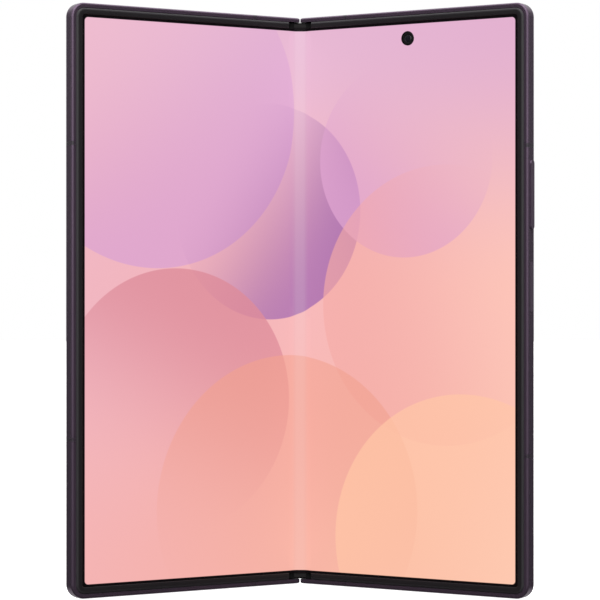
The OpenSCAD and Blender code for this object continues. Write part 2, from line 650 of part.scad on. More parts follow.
module sim_tray() color("#4a404c") left_half() difference() {
    union() {
        end_slot(sim_u, body_h - rim_w + fit, body_h, sim_v, sim_face_w, sim_t + 0.7);
        block(sim_u - sim_w / 2, sim_u + sim_w / 2, sim_y0, body_h - 0.5, sim_v - sim_t / 2, sim_v + sim_t / 2);
    }
    block(sim_u - 4.45, sim_u + 4.45, sim_y0 + 1, body_h - 3.6, sim_v - 0.05, 0);
    rod(sim_u + sim_w / 2 + 0.75, sim_v, body_h - 5, body_h + 1, pin_hole_r);
}
module sim_card() color("goldenrod") left_half()
    block(sim_u - 4.4, sim_u + 4.4, sim_y0 + 1.05, body_h - 3.65, sim_v - 0.05, sim_v + 0.6);
module left_screws() color("silver") left_half() {
    tongue_screws(left_arc_y);
}
module left_magnets() color("silver") left_half() magnets();

hinge_spine();
hinge_bracket_lower();
hinge_bracket_upper();
spine_end_caps();
gear_shafts();
friction_discs();
display_bend();
hinge_flex();
right_frame();
right_back_glass();
right_bezel();
right_display();
right_backplate();
right_rotators();
right_wing();
right_sync_arms();
right_idlers();
main_board();
board_shields();
right_battery();
wireless_coil();
camera_island();
camera_rings();
camera_lenses();
camera_modules();
flash_lens();
inner_camera();
volume_rocker();
side_key();
key_switches();
usb_port();
charge_board();
loudspeaker();
haptic_motor();
right_antenna_bands();
right_screws();
right_magnets();
left_frame();
cover_glass();
cover_display();
left_bezel();
left_display();
left_backplate();
left_rotators();
left_wing();
left_sync_arms();
left_idlers();
left_board();
left_battery();
cover_camera();
ear_speaker();
sim_reader();
sim_tray();
sim_card();
left_antenna_bands();
left_screws();
left_magnets();
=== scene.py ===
"""A book-style folding phone, half open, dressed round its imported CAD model.

Lengths in this file are millimetres in the flat frame of a half: u runs out from the
fold, y up the phone and v out of the screen, whose surface is v = 0. half_place turns
them into metres where the phone stands.
"""

import math

import bmesh
import bpy
from bpy.props import FloatProperty, FloatVectorProperty, IntProperty, PointerProperty
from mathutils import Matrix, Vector
from mathutils.geometry import delaunay_2d_cdt


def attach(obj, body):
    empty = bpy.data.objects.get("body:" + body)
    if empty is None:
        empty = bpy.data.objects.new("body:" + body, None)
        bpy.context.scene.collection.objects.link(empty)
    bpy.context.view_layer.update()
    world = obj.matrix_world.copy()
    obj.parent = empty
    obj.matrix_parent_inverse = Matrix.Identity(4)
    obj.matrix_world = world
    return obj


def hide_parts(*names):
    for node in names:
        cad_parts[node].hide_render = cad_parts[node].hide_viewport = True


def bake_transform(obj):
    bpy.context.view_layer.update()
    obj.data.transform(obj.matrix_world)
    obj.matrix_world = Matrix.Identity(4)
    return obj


bl_info = {
    "name": "Folding Phone",
    "version": (1, 0, 0),
    "blender": (4, 5, 0),
    "location": "3D View > Sidebar > Phone",
    "description": "Builds the looks of a folding phone round its CAD model",
    "category": "Add Mesh",
}

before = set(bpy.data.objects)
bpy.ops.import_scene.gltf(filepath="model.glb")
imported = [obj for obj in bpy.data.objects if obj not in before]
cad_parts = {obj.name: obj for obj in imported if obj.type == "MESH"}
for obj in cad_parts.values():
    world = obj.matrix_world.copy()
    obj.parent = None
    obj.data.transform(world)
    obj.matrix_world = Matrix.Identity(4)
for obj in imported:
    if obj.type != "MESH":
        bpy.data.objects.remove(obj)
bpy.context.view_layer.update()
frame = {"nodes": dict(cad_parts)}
CAD = frame["nodes"]

MM = 0.001
UV_MM = 100
# The fold of each half from flat at rest, its axis, and how far back the fold's surface lies.
FOLD = math.radians(32)
AXIS_U, AXIS_V = 1.2, -0.95
DEPTH_Y = 16.39865
# A half's outline and rim, and the strip and panel inside it: _D is a distance in from the outline.
HALF_W, BODY_H, HALF_T = 71.6, 158.4, 4.2
CORNER_R = 3.8
RIM_W, STRIP_D, STRIP_W = 1.25, 1.3, 1.8
PANEL_D, PANEL_R, PANEL_T = 2.35, 1.6, 0.35
BEND_D, BEND_REACH = 3.1, 4.0
STRIP_END_U = 4.1
# Back glass, cameras and flash.
GLASS_U, GLASS_R, GLASS_T, GLASS_FIT = 3.95, 2.5, 0.6, 0.05
ISLAND_U, ISLAND_T, RING_T = 54.1, 1.3, 1.1
CAMERA_YS = (100.9, 121.4, 141.9)
LENS_U, LENS_Y, LENS_R = 35.1, 150.65, 1.875
RING_U, RING_Y, RING_R = 34.93, 150.78, 1.95
COVER_LENS_U, COVER_LENS_Y = 37.775, 150.4
FLASH_U, FLASH_Y, FLASH_R = 39.1, 142.4, 2.3
FLASH_PROUD, FLASH_RINGS, FLASH_PITCH = 0.05, 3, 0.42
COIL_U, COIL_Y = 37.0, 57.5
# The end caps' rubber stop, the strip's section, the picture's reach and the floor (in metres).
STOP_D, STOP_W, STOP_EDGE = (1.8, 2.65), 3.4, 0.1
SHOULDER_R, SHOULDER_IN, SHOULDER_ARC = 0.95, 0.72, (138, 98)
# painted highlight: how far past STRIP_D, in mm, the strip's paler shoulder colour has faded out, and up
# to where it is full
PAINTED_HIGHLIGHT_BAND = (0.75, 0.45)
INNER_EDGE_R = 0.14
PICTURE_X, PICTURE_Y = (-68, 68), (4, 154)
FLOOR_REACH, FLOOR_DROP = 4, 0.0002


def linear(code):
    """An sRGB hex colour as linear RGB."""
    parts = [int(code[i : i + 2], 16) / 255 for i in (0, 2, 4)]
    return [p / 12.92 if p <= 0.04045 else ((p + 0.055) / 1.055) ** 2.4 for p in parts]


def colour(name, description, code):
    return FloatVectorProperty(
        name=name, description=description, subtype="COLOR", size=3, min=0, max=1, default=linear(code)
    )


class PhoneFinishes(bpy.types.PropertyGroup):
    """Colours of the phone's visible surfaces."""

    frame: colour("Frame", "Anodised aluminium of the frame, keys and tray", "6F5D71")
    island: colour("Camera island", "Anodised aluminium round the rear cameras", "5C4E5E")
    back: colour("Back glass", "Etched glass of the right half's back", "4B3B4F")
    cover: colour("Cover glass", "Polished glass of the left half's back", "08080B")
    strip: colour("Screen strip", "Moulded strip round the inner screen", "232023")
    # painted highlight: a paler colour on the strip's outer shoulder, standing in for the light the
    # shoulder catches
    shoulder: colour("Strip shoulder", "Outer edge of the screen strip, rubbed paler", "383639")
    band: colour("Antenna bands", "Moulded plastic gaps in the frame", "362B39")
    border: colour("Screen border", "Unlit edge of the folding panel", "131013")


class PhoneSizes(bpy.types.PropertyGroup):
    """Sizes of the dressed details."""

    lit_w: FloatProperty(
        name="Lit width", description="Width of the lit screen, mm", default=135.52, min=120, max=140
    )
    lit_h: FloatProperty(
        name="Lit height", description="Height of the lit screen, mm", default=150.76, min=140, max=154
    )
    lit_r: FloatProperty(
        name="Lit corner", description="Corner radius of the lit screen, mm", default=1.0, min=0.2, max=4
    )
    ridge: FloatProperty(
        name="Ridge", description="Height of the strip's outer ridge, mm", default=0.2, min=0.1, max=0.3
    )
    bend_steps: IntProperty(
        name="Bend steps", description="Faces across one side of the bend", default=28, min=8, max=64
    )


class PhoneStudio(bpy.types.PropertyGroup):
    """Camera and light."""

    distance: FloatProperty(
        name="Camera distance", description="Camera to screen fold", default=0.679, subtype="DISTANCE",
        unit="LENGTH",
    )
    height: FloatProperty(
        name="Camera height", description="Camera above the floor", default=0.0794, subtype="DISTANCE",
        unit="LENGTH",
    )
    lens: FloatProperty(name="Lens", description="Focal length, mm on a 36 mm sensor", default=145.5)
    front: FloatProperty(
        name="Front light", description="Brightness of the wide light behind the camera", default=0.58,
        min=0,
    )
    side: FloatProperty(
        name="Side lights", description="Brightness of the lights square to the camera", default=0.42,
        min=0,
    )
    rear: FloatProperty(
        name="Rear lights", description="Brightness of the lights behind the phone", default=0.62, min=0
    )
    bounce: FloatProperty(
        name="Bounce", description="Brightness of the pale floor behind the phone", default=0.5, min=0
    )
    fill: FloatProperty(name="Fill", description="Brightness between the lights", default=0.035, min=0)
    top: FloatProperty(name="Top light", description="Brightness overhead", default=0.8, min=0)


# ---------------------------------------------------------------- places


def half_place(side, u, y, v):
    """A point of the right (1) or left (-1) half, in metres where it stands."""
    du, dv = u - AXIS_U, v - AXIS_V
    x = AXIS_U + du * math.cos(FOLD) - dv * math.sin(FOLD)
    w = AXIS_V + du * math.sin(FOLD) + dv * math.cos(FOLD)
    return Vector((side * x, DEPTH_Y - w, y)) * MM


def bend_place(side, u, y, v):
    """A point of the bending stretch, which turns by a share of the fold that grows smoothly."""
    edge = AXIS_U + (BEND_REACH - AXIS_U) * math.cos(FOLD) + AXIS_V * math.sin(FOLD)
    x = u
    # the share depends on where the point ends up, so the place is found by halving the error
    for _ in range(60):
        t = min(max(x / edge, 0), 1)
        a = FOLD * t * t * (3 - 2 * t)
        nx = AXIS_U + (u - AXIS_U) * math.cos(a) - (v - AXIS_V) * math.sin(a)
        x = (x + nx) / 2
    w = AXIS_V + (u - AXIS_U) * math.sin(a) + (v - AXIS_V) * math.cos(a)
    return Vector((side * x, DEPTH_Y - w, y)) * MM


# ---------------------------------------------------------------- meshes


def finish_mesh(name, verts, faces, smooth_deg=30, uv=None):
    """Makes an object of the points and faces, with outward normals and smooth shading below an angle.

    uv holds two lengths in mm for each point, kept in a UV map at UV_MM to the unit: the flat
    (u, y) of the panel, or a strip's place in its section.
    """
    mesh = bpy.data.meshes.new(name)
    mesh.from_pydata([tuple(p) for p in verts], [], faces)
    bm = bmesh.new()
    bm.from_mesh(mesh)
    bmesh.ops.recalc_face_normals(bm, faces=bm.faces)
    bm.to_mesh(mesh)
    bm.free()
    mesh.update()
    for p in mesh.polygons:
        p.use_smooth = True
    mesh.set_sharp_from_angle(angle=math.radians(smooth_deg))
    if uv is not None:
        layer = mesh.uv_layers.new(name="flat")
        for loop in mesh.loops:
            layer.data[loop.index].uv = [c / UV_MM for c in uv[loop.vertex_index]]
    obj = bpy.data.objects.new(name, mesh)
    bpy.context.scene.collection.objects.link(obj)
    return obj


def arc(cx, cy, r, a0, a1, steps):
    """Points on a circle, from angle a0 to a1 in degrees."""
    return [
        (cx + r * math.cos(math.radians(a0 + (a1 - a0) * i / steps)),
         cy + r * math.sin(math.radians(a0 + (a1 - a0) * i / steps)))
        for i in range(steps + 1)
    ]


def rim_path(d, u0, steps=10):
    """The line at distance d inside a half's outline, from the hinge round the outer side and back."""
    r = CORNER_R - d
    low = arc(HALF_W - CORNER_R, CORNER_R, r, -90, 0, steps)
    high = arc(HALF_W - CORNER_R, BODY_H - CORNER_R, r, 0, 90, steps)
    return [(u0, d)] + low + high + [(u0, BODY_H - d)]


def sweep(name, side, profile, u0):
    """Carries a closed section of (distance in, v) round the three outer sides of a half."""
    rows = [rim_path(d, u0) for d, _ in profile]
    count, n = len(rows[0]), len(profile)
    verts = [half_place(side, *rows[k][i], profile[k][1]) for i in range(count) for k in range(n)]
    faces = [
        (i * n + k, i * n + (k + 1) % n, (i + 1) * n + (k + 1) % n, (i + 1) * n + k)
        for i in range(count - 1)
        for k in range(n)
    ]
    faces += [tuple(range(n)), tuple((count - 1) * n + k for k in range(n))]
    return finish_mesh(name, verts, faces, 35, profile * count)


def lathe(profile, place, u, y, steps=64):
    """Points and faces of a round solid about the v direction at (u, y), from its (radius, v) section."""
    verts, faces, n = [], [], len(profile)
    for i in range(steps):
        a = 2 * math.pi * i / steps
        verts += [place(u + r * math.cos(a), y + r * math.sin(a), v) for r, v in profile]
    for i in range(steps):
        j = (i + 1) % steps
        faces += [(i * n + k, j * n + k, j * n + k + 1, i * n + k + 1) for k in range(n - 1)]
    return verts, faces


def joined(name, solids, smooth_deg=30):
    """One object from several (points, faces) pairs."""
    verts, faces = [], []
    for v, f in solids:
        faces += [tuple(i + len(verts) for i in face) for face in f]
        verts += v
    obj = finish_mesh(name, verts, faces, smooth_deg)
    weld = bmesh.new()
    weld.from_mesh(obj.data)
    bmesh.ops.remove_doubles(weld, verts=weld.verts, dist=1e-7)
    bmesh.ops.dissolve_degenerate(weld, edges=weld.edges, dist=1e-7)
    bmesh.ops.recalc_face_normals(weld, faces=weld.faces)
    weld.to_mesh(obj.data)
    weld.free()
    return obj


def panel(name, side, hole):
    """The flat stretch of the folding panel, with the inner camera's hole where hole is set."""
    r, end = PANEL_R, HALF_W - PANEL_D
    outline = [(BEND_REACH, PANEL_D)] + arc(end - r, PANEL_D + r, r, -90, 0, 8)
    outline += arc(end - r, BODY_H - PANEL_D - r, r, 0, 90, 8) + [(BEND_REACH, BODY_H - PANEL_D)]
    rings = [outline]
    if hole:
        rings.append(arc(LENS_U, LENS_Y, LENS_R, 360, 0, 48)[:-1])
    points, edges = [], []
    for ring in rings:
        base = len(points)
        points += [Vector(p) for p in ring]
        edges += [(base + i, base + (i + 1) % len(ring)) for i in range(len(ring))]
    flat, _, tris, *_ = delaunay_2d_cdt(points, edges, [], 0, 1e-5)
    kept = []
    for t in tris:
        middle = sum((flat[i] for i in t), Vector((0, 0))) / 3
        if inside(middle, outline) and not (hole and inside(middle, rings[1])):
            kept.append(tuple(t))
    n = len(flat)
    verts = [half_place(side, p.x, p.y, v) for v in (0, -PANEL_T) for p in flat]
    faces = kept + [tuple(i + n for i in reversed(t)) for t in kept]
    faces += [(a, b, b + n, a + n) for a, b in edges]
    return finish_mesh(name, verts, faces, 30, [(side * p.x, p.y) for p in flat] * 2)


def fillet(side, end):
    """Points and faces of the frame's corner at the hinge, beside the back glass's rounded corner."""
    middle = (GLASS_U + GLASS_R, RIM_W + GLASS_FIT + GLASS_R)
    curve = arc(*middle, GLASS_R + GLASS_FIT, 180, 270, 12)
    outline = [(GLASS_U - GLASS_FIT, RIM_W)] + curve
    outline = [(u, BODY_H - y if end else y) for u, y in outline]
    n = len(outline)
    verts = [half_place(side, u, y, v) for v in (-HALF_T, GLASS_T - HALF_T) for u, y in outline]
    faces = [(0, i, i + 1) for i in range(1, n - 1)] + [(n, n + i + 1, n + i) for i in range(1, n - 1)]
    faces += [(i, (i + 1) % n, n + (i + 1) % n, n + i) for i in range(n)]
    return verts, faces


def inside(p, ring):
    """Whether a point lies in a closed outline."""
    found = False
    for (x0, y0), (x1, y1) in zip(ring, ring[1:] + ring[:1]):
        if (y0 > p.y) != (y1 > p.y) and p.x < (x1 - x0) * (p.y - y0) / (y1 - y0) + x0:
            found = not found
    return found


def bend(name, side, steps):
    """One side of the stretch that bends, from the fold to where the flat panel begins."""
    ys = (BEND_D, BODY_H / 2, BODY_H - BEND_D)
    us = [BEND_REACH * i / steps for i in range(steps + 1)]
    verts, uv, n = [], [], len(us)
    for v in (0, -PANEL_T):
        for y in ys:
            verts += [bend_place(side, u, y, v) for u in us]
            uv += [(side * u, y) for u in us]
    faces, layer = [], n * len(ys)
    for low in (0, layer):
        for j in range(len(ys) - 1):
            row, above = low + j * n, low + (j + 1) * n
            faces += [(row + i, row + i + 1, above + i + 1, above + i) for i in range(n - 1)]
    for row in (0, (len(ys) - 1) * n):
        below = layer + row
        faces += [(row + i, row + i + 1, below + i + 1, below + i) for i in range(n - 1)]
    return finish_mesh(name, verts, faces, 30, uv)


# ---------------------------------------------------------------- materials


def node(mat, kind, sockets=None, **settings):
    """Adds one shader node of a kind, such as Mix, to a material or world.

    settings are its properties, and sockets maps an input to a value or another node's output.
    """
    made = mat.node_tree.nodes.new("ShaderNode" + kind)
    for key, value in settings.items():
        setattr(made, key, value)
    for key, value in (sockets or {}).items():
        if isinstance(value, bpy.types.NodeSocket):
            mat.node_tree.links.new(value, made.inputs[key])
        else:
            made.inputs[key].default_value = value
    return made


def shader(name, sockets):
    """A material, and its Principled shader with some sockets set to values."""
    mat = bpy.data.materials.new(name)
    mat.use_nodes = True
    body = mat.node_tree.nodes["Principled BSDF"]
    for key, value in sockets.items():
        body.inputs[key].default_value = value
    return mat, body


def wire(mat, output, socket):
    """Links an output to a socket."""
    mat.node_tree.links.new(output, socket)


def rgba(rgb, gain=1.0):
    """A colour with its brightness changed by a gain, and opaque."""
    return [c * gain for c in rgb] + [1.0]


def set_stops(ramp, stops):
    """Gives a colour ramp its (place, hex colour) stops, the first at 0 and the last at 1."""
    elements = ramp.color_ramp.elements
    for at, _ in stops[1:-1]:
        elements.new(at)
    for spot, (_, code) in zip(elements, stops):
        spot.color = rgba(linear(code))


# Size in mm and share of the slow change in tone that every finish has.
CLOUD, CLOUD_SHARE = 22, 0.35


def grained(name, rgb, grain, spread, depth, rough, rough_spread, sockets, stretch=(1, 1, 1)):
    """A surface with a fine grain, grain mm across and depth mm high, over a broad cloudiness.

    Its colour varies by spread and its roughness by rough_spread. stretch draws the grain out.
    """
    mat, body = shader(name, sockets)
    place = node(mat, "TexCoord")
    turned = node(mat, "Mapping", {"Vector": place.outputs["Object"], "Scale": stretch})
    fine = node(
        mat, "TexNoise",
        {"Vector": turned.outputs[0], "Scale": 1 / (grain * MM), "Detail": 3.0, "Roughness": 0.6},
    )
    cloud = 1 / (CLOUD * MM)
    broad = node(mat, "TexNoise", {"Vector": place.outputs["Object"], "Scale": cloud, "Detail": 2.0})
    both = node(
        mat, "Mix", {0: CLOUD_SHARE, 2: fine.outputs["Fac"], 3: broad.outputs["Fac"]}, data_type="FLOAT"
    )
    tone = node(
        mat, "Mix", {0: both.outputs[0], 6: rgba(rgb, 1 - spread), 7: rgba(rgb, 1 + spread)},
        data_type="RGBA",
    )
    wire(mat, tone.outputs[2], body.inputs["Base Color"])
    gloss = node(mat, "MapRange", {0: both.outputs[0], 3: rough - rough_spread, 4: rough + rough_spread})
    wire(mat, gloss.outputs[0], body.inputs["Roughness"])
    bump = node(mat, "Bump", {"Height": fine.outputs["Fac"], "Strength": 1.0, "Distance": depth * MM})
    wire(mat, bump.outputs[0], body.inputs["Normal"])
    return mat


def anodised_aluminium(name, rgb, rough=0.22):
    """Bead-blasted and dyed aluminium: a satin metal under a dyed layer, which keeps its plum in
    the dark and pales in the light. The blast marks are 0.05 mm, drawn at 0.25 mm to show."""
    return grained(name, rgb, 0.25, 0.05, 0.004, rough, 0.04, {"Metallic": 0.7})


def moulded_strip(rgb, painted_highlight):
    """Moulded polyurethane: a soft black with a matt, slightly pebbled skin. Its outer shoulder
    carries a painted highlight: a paler colour that stands in for the light the shoulder catches."""
    mat = grained(
        "moulded_polyurethane", rgb, 0.3, 0.12, 0.006, 0.32, 0.05,
        {"IOR": 1.5, "Specular IOR Level": 0.42},
    )
    body = mat.node_tree.nodes["Principled BSDF"]
    tone = body.inputs["Base Color"].links[0].from_socket
    # painted highlight: towards its outer edge the strip's colour turns paler, standing in for the light
    # on the shoulder
    flat = node(mat, "UVMap", uv_map="flat")
    inwards = node(mat, "SeparateXYZ", {0: flat.outputs[0]}).outputs["X"]
    ends = {0: inwards, 1: (STRIP_D + PAINTED_HIGHLIGHT_BAND[0]) / UV_MM, 2: (STRIP_D + PAINTED_HIGHLIGHT_BAND[1]) / UV_MM}
    share = node(mat, "MapRange", ends, interpolation_type="SMOOTHSTEP")
    mixed = node(mat, "Mix", {0: share.outputs[0], 6: tone, 7: rgba(painted_highlight)}, data_type="RGBA")
    wire(mat, mixed.outputs[2], body.inputs["Base Color"])
    return mat


def moulded_end_cap():
    """Moulded cap of the hinge: near black, with a paler rubber stop beside the screen."""
    mat = grained(
        "moulded_end_cap", linear("080606"), 0.3, 0.12, 0.004, 0.5, 0.05,
        {"IOR": 1.5, "Specular IOR Level": 0.22},
    )
    body = mat.node_tree.nodes["Principled BSDF"]
    tone = body.inputs["Base Color"].links[0].from_socket
    place = node(mat, "TexCoord")
    middle = node(
        mat, "VectorMath", {0: place.outputs["Object"], 1: (0, 0, BODY_H / 2 * MM)}, operation="SUBTRACT"
    )
    far = node(mat, "VectorMath", {0: middle.outputs[0]}, operation="ABSOLUTE")
    apart = node(mat, "SeparateXYZ", {0: far.outputs[0]})
    high, low = (BODY_H / 2 - d for d in STOP_D)
    ends = {0: apart.outputs["Z"], 1: high * MM, 2: (high - STOP_EDGE) * MM}
    above = node(mat, "MapRange", ends)
    ends = {0: apart.outputs["Z"], 1: (low - STOP_EDGE) * MM, 2: low * MM}
    below = node(mat, "MapRange", ends)
    stop = node(mat, "Math", {0: above.outputs[0], 1: below.outputs[0]}, operation="MULTIPLY")
    ends = {0: apart.outputs["X"], 1: STOP_W / 2 * MM, 2: (STOP_W / 2 - STOP_EDGE) * MM}
    within = node(mat, "MapRange", ends)
    share = node(mat, "Math", {0: stop.outputs[0], 1: within.outputs[0]}, operation="MULTIPLY")
    mixed = node(mat, "Mix", {0: share.outputs[0], 6: tone, 7: rgba(linear("201D1E"))}, data_type="RGBA")
    wire(mat, mixed.outputs[2], body.inputs["Base Color"])
    return mat


def etched_glass(rgb):
    """Acid-etched glass over a painted film: a silky matt sheen with a very fine sparkle."""
    return grained(
        "etched_back_glass", rgb, 0.2, 0.04, 0.0015, 0.34, 0.03,
        {"IOR": 1.52, "Coat Weight": 0.25, "Coat Roughness": 0.3},
    )


def polished_cover_glass(rgb):
    """Polished glass over black print: deep black with a sharp reflection, and very faint smears."""
    return grained(
        "polished_cover_glass", rgb, 9, 0.15, 0.0002, 0.05, 0.025,
        {"IOR": 1.52, "Coat Weight": 0.6, "Coat Roughness": 0.03},
    )


def moulded_band(rgb):
    """Moulded PBT, polished flush with the frame: a shade duller than the metal beside it."""
    return grained(
        "moulded_pbt", rgb, 0.2, 0.06, 0.003, 0.28, 0.04, {"IOR": 1.55, "Specular IOR Level": 0.7}
    )


def brushed_steel():
    """Stamped stainless steel: a grey sheen drawn out along the rolling marks."""
    return grained(
        "stamped_stainless_steel", linear("9C9A9C"), 0.12, 0.12, 0.002, 0.34, 0.08, {"Metallic": 1.0},
        (1, 1, 0.06),
    )


def gear_steel():
    """Hardened and ground steel: brighter and tighter than the stampings."""
    return grained("ground_gear_steel", linear("B3B0AE"), 0.1, 0.06, 0.001, 0.22, 0.05, {"Metallic": 1.0})


def dark_nylon():
    """Glass-filled nylon: near black with a dry, speckled skin."""
    return grained("glass_filled_nylon", linear("1B1A1D"), 0.25, 0.25, 0.006, 0.5, 0.08, {"IOR": 1.53})


def nickel():
    """Nickel-plated magnet: bright and faintly warm."""
    return grained("nickel_plating", linear("BDB6AC"), 0.6, 0.04, 0.0006, 0.16, 0.04, {"Metallic": 1.0})


def pouch_cell():
    """Wrapped lithium cell: black film that lies over a slightly uneven pouch."""
    return grained("pouch_cell_film", linear("151517"), 6, 0.1, 0.03, 0.38, 0.06, {"IOR": 1.5})


def hard_black():
    """Black anodised lens barrel: a dead black that only catches light on its edges."""
    return grained(
        "black_anodised_barrel", linear("0D0D10"), 0.15, 0.2, 0.002, 0.36, 0.05, {"Metallic": 0.4}
    )


def coated_lens():
    """Coated optical glass: nearly black, with the violet and green of its coating."""
    mat, body = shader(
        "coated_optical_glass",
        {"Roughness": 0.03, "IOR": 1.6, "Coat Weight": 1.0, "Coat Roughness": 0.02},
    )
    rim = node(mat, "LayerWeight", {"Blend": 0.35})
    ramp = node(mat, "ValToRGB", {"Fac": rim.outputs["Facing"]})
    set_stops(ramp, ((0.0, "16161B"), (0.4, "17142C"), (0.8, "123038"), (1.0, "050506")))
    wire(mat, ramp.outputs[0], body.inputs["Base Color"])
    dust = node(mat, "TexNoise", {"Scale": 1 / (1.5 * MM), "Detail": 2.0})
    haze = node(mat, "MapRange", {0: dust.outputs["Fac"], 3: 0.02, 4: 0.06})
    wire(mat, haze.outputs[0], body.inputs["Roughness"])
    return mat


def clear_window():
    """Clear cover glass: seen only by its reflection."""
    mat, body = shader(
        "clear_cover_window",
        {"Base Color": (0.02, 0.02, 0.025, 1), "Roughness": 0.02, "IOR": 1.5, "Alpha": 0.22},
    )
    smear = node(mat, "TexNoise", {"Scale": 1 / (4 * MM), "Detail": 2.0})
    haze = node(mat, "MapRange", {0: smear.outputs["Fac"], 3: 0.01, 4: 0.05})
    wire(mat, haze.outputs[0], body.inputs["Roughness"])
    return mat


def ringed(name, centre, pitch, dark, light, sockets, depth=0.05):
    """Rings about a point of the object at a pitch in mm, as wound wire or a moulded lens has them."""
    mat, body = shader(name, sockets)
    place = node(mat, "TexCoord")
    off = node(mat, "VectorMath", {0: place.outputs["Object"], 1: centre}, operation="SUBTRACT")
    far = node(mat, "VectorMath", {0: off.outputs[0]}, operation="LENGTH")
    turn = node(
        mat, "Math", {0: far.outputs["Value"], 1: 2 * math.pi / (pitch * MM)}, operation="MULTIPLY"
    )
    wave = node(mat, "Math", {0: turn.outputs[0]}, operation="SINE")
    unit = node(mat, "MapRange", {0: wave.outputs[0], 1: -1.0, 2: 1.0})
    # painted shade and highlight: each ring goes from the dark colour in its groove to the light one on
    # its crest, in step with the bump
    tone = node(mat, "Mix", {0: unit.outputs[0], 6: rgba(dark), 7: rgba(light)}, data_type="RGBA")
    wire(mat, tone.outputs[2], body.inputs["Base Color"])
    bump = node(mat, "Bump", {"Height": unit.outputs[0], "Strength": 1.0, "Distance": depth * MM})
    wire(mat, bump.outputs[0], body.inputs["Normal"])
    return mat


def moulded_flash(centre):
    """Moulded acrylic flash lens: cream with a deep amber die glowing through its middle."""
    mat, body = shader(
        "moulded_acrylic_flash",
        {"Roughness": 0.18, "IOR": 1.49, "Coat Weight": 0.5, "Coat Roughness": 0.05},
    )
    place = node(mat, "TexCoord")
    far = node(mat, "VectorMath", {0: place.outputs["Object"], 1: centre}, operation="DISTANCE")
    out = node(mat, "MapRange", {0: far.outputs["Value"], 2: FLASH_R * MM})
    ramp = node(mat, "ValToRGB", {"Fac": out.outputs[0]})
    die, lens = ((0.0, "C98F35"), (0.36, "D3A452")), ((0.46, "D9CCA8"), (0.88, "CFC7B2"))
    set_stops(ramp, (*die, *lens, (1.0, "5A5148")))
    grain = node(
        mat, "TexNoise", {"Vector": place.outputs["Object"], "Scale": 1 / (0.3 * MM), "Detail": 2.0}
    )
    tone = node(
        mat, "Mix", {0: grain.outputs["Fac"], 6: ramp.outputs[0], 7: rgba(linear("B9A67C"))},
        data_type="RGBA",
    )
    faint = node(mat, "Mix", {0: 0.25, 6: ramp.outputs[0], 7: tone.outputs[2]}, data_type="RGBA")
    wire(mat, faint.outputs[2], body.inputs["Base Color"])
    return mat


def carbon_plate():
    """Carbon-fibre laminate: tows 1 mm wide, woven over and under, in a clear matt resin."""
    mat, body = shader(
        "woven_carbon_laminate",
        {"Roughness": 0.4, "IOR": 1.55, "Coat Weight": 0.4, "Coat Roughness": 0.2},
    )
    place = node(mat, "TexCoord")
    tows = node(
        mat, "TexChecker",
        {
            "Vector": place.outputs["Object"], "Color1": rgba(linear("17171A")),
            "Color2": rgba(linear("2A2A2E")), "Scale": 1 / MM,
        },
    )
    wire(mat, tows.outputs[0], body.inputs["Base Color"])
    fibre = node(
        mat, "TexNoise", {"Vector": place.outputs["Object"], "Scale": 1 / (0.1 * MM), "Detail": 2.0}
    )
    bump = node(mat, "Bump", {"Height": fibre.outputs["Fac"], "Strength": 1.0, "Distance": 0.005 * MM})
    wire(mat, bump.outputs[0], body.inputs["Normal"])
    return mat


def solder_resist():
    """Green solder resist over copper: tracks 0.4 mm apart stand up faintly under the lacquer."""
    mat, body = shader(
        "solder_resist", {"Roughness": 0.35, "IOR": 1.5, "Coat Weight": 0.3, "Coat Roughness": 0.15}
    )
    place = node(mat, "TexCoord")
    cells = node(
        mat, "TexVoronoi", {"Vector": place.outputs["Object"], "Scale": 1 / (1.6 * MM)},
        feature="DISTANCE_TO_EDGE", distance="EUCLIDEAN",
    )
    track = node(mat, "MapRange", {0: cells.outputs["Distance"], 1: 0.04, 2: 0.12})
    tone = node(
        mat, "Mix", {0: track.outputs[0], 6: rgba(linear("2E7A4A")), 7: rgba(linear("0F4A2A"))},
        data_type="RGBA",
    )
    wire(mat, tone.outputs[2], body.inputs["Base Color"])
    bump = node(
        mat, "Bump", {"Height": track.outputs[0], "Strength": 0.6, "Distance": 0.03 * MM}, invert=True
    )
    wire(mat, bump.outputs[0], body.inputs["Normal"])
    return mat


# The picture on the screen: soft round shapes, each with one crisp, deeper edge.
# Centre and radius in mm, the way its deeper side faces in degrees, colour and strength.
SHAPES = (
    ((-46, 132), 44, -60, "D79FD2", 0.70),
    ((-10, 104), 30, -35, "A468AE", 0.85),
    ((34, 118), 27, 240, "DDA2CE", 0.75),
    ((46, 78), 38, 200, "F3A9A4", 0.62),
    ((-40, 52), 36, 65, "DC8A98", 0.80),
    ((-4, 22), 42, 80, "F0A08C", 0.60),
    ((52, 14), 40, 130, "FFC6A6", 0.7),
)
DISC_EDGE = 0.12
# Background colours from the lower to the upper edge, each from left to right.
BACKGROUND = (
    (("F4B4B6", "F5AE9E", "FFCDB3"), 0.0),
    (("F0B6C2", "F3B2B4", "FEC7B8"), 0.5),
    (("EFBCCD", "E6B8D4", "E2AFCE"), 1.0),
)


